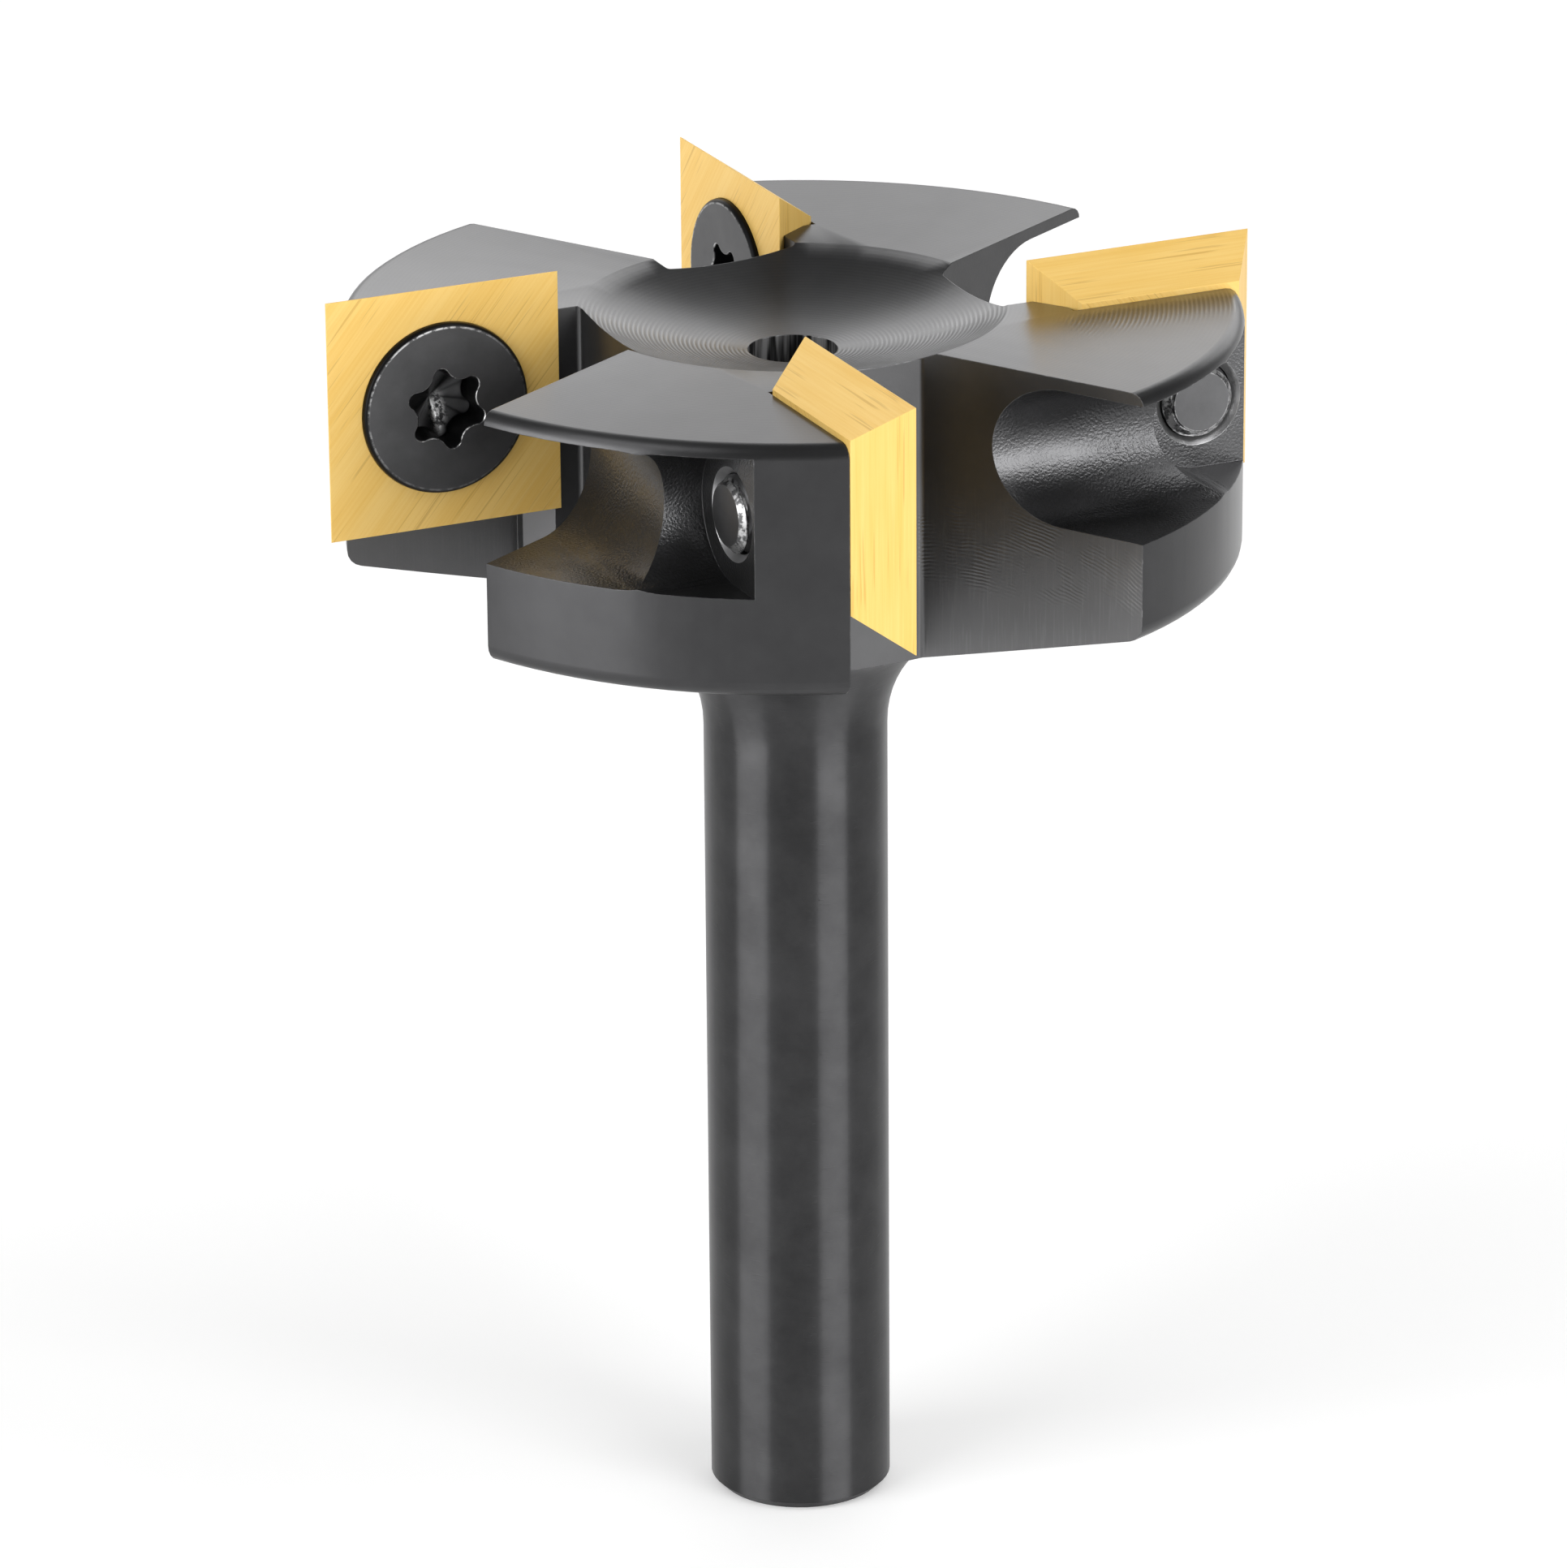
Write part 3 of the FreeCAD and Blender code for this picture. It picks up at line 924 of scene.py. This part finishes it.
def six_lobes(angles):
    """Radius of the recess: the lobe's arc out to where it touches the hollow's arc, then that."""
    off = np.abs((angles + half_lobe) % (2 * half_lobe) - half_lobe)
    lobe = np.array([lobe_centre, 0])
    hollow = hollow_centre * np.array([math.cos(half_lobe), math.sin(half_lobe)])
    touch = lobe + (hollow - lobe) * lobe_radius / np.linalg.norm(hollow - lobe)
    limit = math.atan2(touch[1], touch[0])
    on_lobe = lobe_centre * np.cos(off) + np.sqrt(
        np.maximum(lobe_radius ** 2 - (lobe_centre * np.sin(off)) ** 2, 0))
    rest = half_lobe - off
    in_hollow = hollow_centre * np.cos(rest) - np.sqrt(
        np.maximum(hollow_radius ** 2 - (hollow_centre * np.sin(rest)) ** 2, 0))
    return np.where(off < limit, on_lobe, in_hollow)


print("recess across its points", round(2 * six_lobes(np.zeros(1))[0] / mm, 2), "mm")

# %% [markdown]
# ### Rows of the screw
# A row holds a radius, a depth, a painted shade and a wear, each one number or one
# per angle. The painted shade darkens the recess and the rim's side, and the wear is
# where the oxide is rubbed away, with a painted glint on the recess's floor and a
# painted highlight on one side of the rim. Carried in the mesh, both follow the edges
# exactly, which no texture would.

# %% Recess and head
recess_depth = 2.3 * mm
recess_cone = 0.8 * mm
rolled_edge = 0.32 * mm
shank_radius = 2.5 * mm
highlight_side = math.radians(135)


def recess_rows(angles, lobes):
    """Rows out over the recess's coned floor and up its walls to the face of the head.

    An oval painted glint lies on the floor where a key rubs, bright as a bell curve
    each way. The floor gets painted shade, and the walls more of it.
    """
    floor_depth = head_face + recess_depth
    rows = [(0, floor_depth + recess_cone, 0.4, 0)]
    for part in (0.12, 0.24, 0.36, 0.48, 0.6, 0.72, 0.84, 0.97):
        spread = lobes * 0.94 * part
        # Painted glint: a bright oval spot on the recess's floor, carried as wear.
        painted_glint = np.exp(-((spread * np.cos(angles) - 0.35 * mm) / (0.34 * mm)) ** 2
                        - ((spread * np.sin(angles) + 0.95 * mm) / (0.80 * mm)) ** 2)
        rows.append((spread, floor_depth + recess_cone * (1 - part), 0.4, painted_glint * 2.2))
    return rows + [(lobes * 0.95, floor_depth - 0.05 * mm, 0.7, 0),
                   (lobes * 0.97, floor_depth - 1.2 * mm, 0.7, 0),
                   (lobes, head_face + 0.12 * mm, 0.7, 0),
                   (lobes + 0.02 * mm, head_face + 0.05 * mm, 0.5, 0.65),
                   (lobes + 0.07 * mm, head_face, 0, 0.65),
                   (lobes + 0.10 * mm, head_face, 0, 0)]


def head_rows(angles, lobes):
    """Rows out over the head's flat face, round its rolled edge and down the cone.

    The edge is a quarter circle, worn bright all round and given a painted highlight
    that is strongest towards one side. The rim's side gets painted shade.
    """
    flat_reach = head_radius - rolled_edge - 0.03 * mm
    # Painted highlight: the rim's wear is brightest towards one side.
    rim_wear_and_highlight = 0.25 + 0.75 * np.clip(np.cos(angles - highlight_side), 0, 1)
    rows = [(lobes * (1 - part) + flat_reach * part, head_face, 0, 0)
            for part in (0.15, 0.5, 0.9, 1)]
    for part in np.linspace(0, 1, 8):
        bend = part * math.pi / 2
        rows.append((head_radius - rolled_edge * (1 - math.sin(bend)),
                     head_face + rolled_edge * (1 - math.cos(bend)),
                     min(1, 3 * part), rim_wear_and_highlight * min(0.45, max(0, 1.3 - 6 * part))))
    return rows + [(head_radius, insert_face, 1, 0),
                   (shank_radius, insert_face + head_radius - shank_radius, 0, 0)]


print("rows of the head alone", len(head_rows(np.zeros(1), six_lobes(np.zeros(1)))))

# %% Thread and tip
thread_pitch = 0.8 * mm
thread_start = 9.2 * mm
thread_depth = 0.45 * mm
tip_chamfer = 0.55 * mm
rows_per_turn = 8


def thread_rows(angles):
    """Rows down the thread and over the chamfered tip.

    The radius is the shank's less a triangle wave of the turns made so far, which is
    clipped flat at its crests and roots and fades in over the first turn.
    """
    rows = []
    for depth in np.arange(thread_start, screw_tip, thread_pitch / rows_per_turn):
        turns = depth / thread_pitch + angles / (2 * math.pi)
        groove = np.clip(np.abs((turns % 1) * 2 - 1) * 1.25 - 0.1, 0, 1) * thread_depth
        groove *= min(1, (depth - thread_start) / thread_pitch)
        limit = shank_radius - max(0, depth - screw_tip + tip_chamfer)
        on_tip = depth > screw_tip - tip_chamfer - 0.05 * mm
        rows.append((np.minimum(shank_radius - groove, limit), depth, 0, 0.65 * on_tip))
    tip_radius = shank_radius - tip_chamfer
    return rows + [(tip_radius, screw_tip, 0, 0.4), (tip_radius - 0.07 * mm, screw_tip, 0, 0),
                   (1.2 * mm, screw_tip, 0, 0), (0, screw_tip, 0, 0)]


print("thread of", round((screw_tip - thread_start) / thread_pitch, 1), "turns")

# %% Screw shape
screw_around = 216


def screw_grid(turn):
    """Points, painted shade, and wear with painted highlights of a screw whose recess stands at
    this angle.
    """
    angles = np.arange(screw_around) * 2 * math.pi / screw_around
    lobes = six_lobes(angles - turn - math.pi / 2)
    rows = recess_rows(angles, lobes) + head_rows(angles, lobes) + thread_rows(angles)
    filled = [[np.broadcast_to(value, angles.shape) for value in row] for row in rows]
    spread, depth, painted_shade, wear_and_highlights = np.array(filled).transpose(1, 0, 2)
    return round_screw(spread, depth, angles), painted_shade, np.clip(wear_and_highlights, 0, 1)


print("screw grid", screw_grid(0)[0].shape)

# %% [markdown]
# ### Screw steel
# The screws are cold-headed from wire, rolled and blackened like the body. A key has
# turned each of them a few times. Plain noise would scatter bright specks all over the
# head. Here noise only breaks up the wear that the rows carry, so it stays at the
# recess's edge, on the rim and at the tip, where a real screw is rubbed bright, and on
# the painted glint of the recess's floor.

# %% Screw steel
def forged_steel(name):
    """Cold-headed black-oxide steel of the screws.

    The recess and the rim's side are darkened with painted shade, and the oxide is
    rubbed through to bright steel along the edges that a key touches, with a painted
    glint on the recess's floor and a painted highlight on one side of the rim.
    """
    material, tree, worn = new_finish(name, edge_radius=0.03 * mm)
    spot = add(tree, "TexCoord").outputs["Object"]
    painted_shade = add(tree, "Attribute", attribute_name="painted_shade").outputs["Fac"]
    wear_and_highlights = add(tree, "Attribute", attribute_name="wear_and_highlights").outputs["Fac"]
    patch = add(tree, "TexNoise", {"Vector": spot, "Scale": 1 / (0.5 * mm), "Detail": 4.0,
                                   "Roughness": 0.7}).outputs["Fac"]
    # Bare steel along the worn edges, together with the painted glint and highlight.
    bare_and_highlights = product(tree, wear_and_highlights, share(tree, (patch, 0.42, 0.56)))
    grain = add(tree, "TexNoise", {"Vector": spot, "Scale": 1 / (0.14 * mm), "Detail": 4.0})
    return finish_material(material, tree, {
        # Painted shade from the mesh darkens the recess and the rim's side.
        "Base Color": layered(tree, oxide_tone(tree, spot, 3 * mm, "#505051", "#5c5c5d"),
                              (painted_shade, "#151516"), (bare_and_highlights, "#dedede")),
        "Metallic": 0.9, "Anisotropic": 0.5,
        "Roughness": total(tree, product(tree, bare_and_highlights, -0.14), 0.42),
        "Normal": relief(tree, worn, (grain.outputs["Fac"], 0.004 * mm)),
        "Tangent": add(tree, "CombineXYZ", {"Z": 1.0}).outputs[0]})


screw_steel = forged_steel("cold_headed_black_oxide_steel")
print(screw_steel.name, "has", len(screw_steel.node_tree.nodes), "nodes")

# %% Screws
first_turn = 9.5
turn_step = 6.8

screws = []
for number in range(wing_count):
    grid, painted_shade, wear_and_highlights = screw_grid(math.radians(first_turn + turn_step * number))
    mesh = grid_mesh(f"lobed_screw_{number + 1}", grid)
    tag_grid(mesh, "painted_shade", painted_shade)
    tag_grid(mesh, "wear_and_highlights", wear_and_highlights)
    piece = place(mesh, f"lobed_screw_{number + 1}", screw_steel, number)
    smooth(mesh, sharp_angle=32)
    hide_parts(f"insert_screw_{number + 1}")
    screws.append(piece)
print("screw has", len(screws[0].data.polygons), "faces")

# %% [markdown]
# ## Closed and facing out
# A surface turned inside out looks right from some sides and goes black from others.
# The volume inside each piece, summed from its faces, is positive only when they all
# face outwards.

# %% Volumes
def volume(mesh):
    """Signed volume: the sum over triangles of their corners' triple product, over six."""
    mesh.calc_loop_triangles()
    corners = np.empty(len(mesh.loop_triangles) * 3, np.int32)
    mesh.loop_triangles.foreach_get("vertices", corners)
    a, b, c = points_of(mesh)[corners].reshape(-1, 3, 3).transpose(1, 0, 2)
    return (a * np.cross(b, c)).sum() / 6


for piece in [body] + inserts + screws:
    print(piece.name, "volume", round(volume(piece.data) / mm ** 3, 1), "mm3")
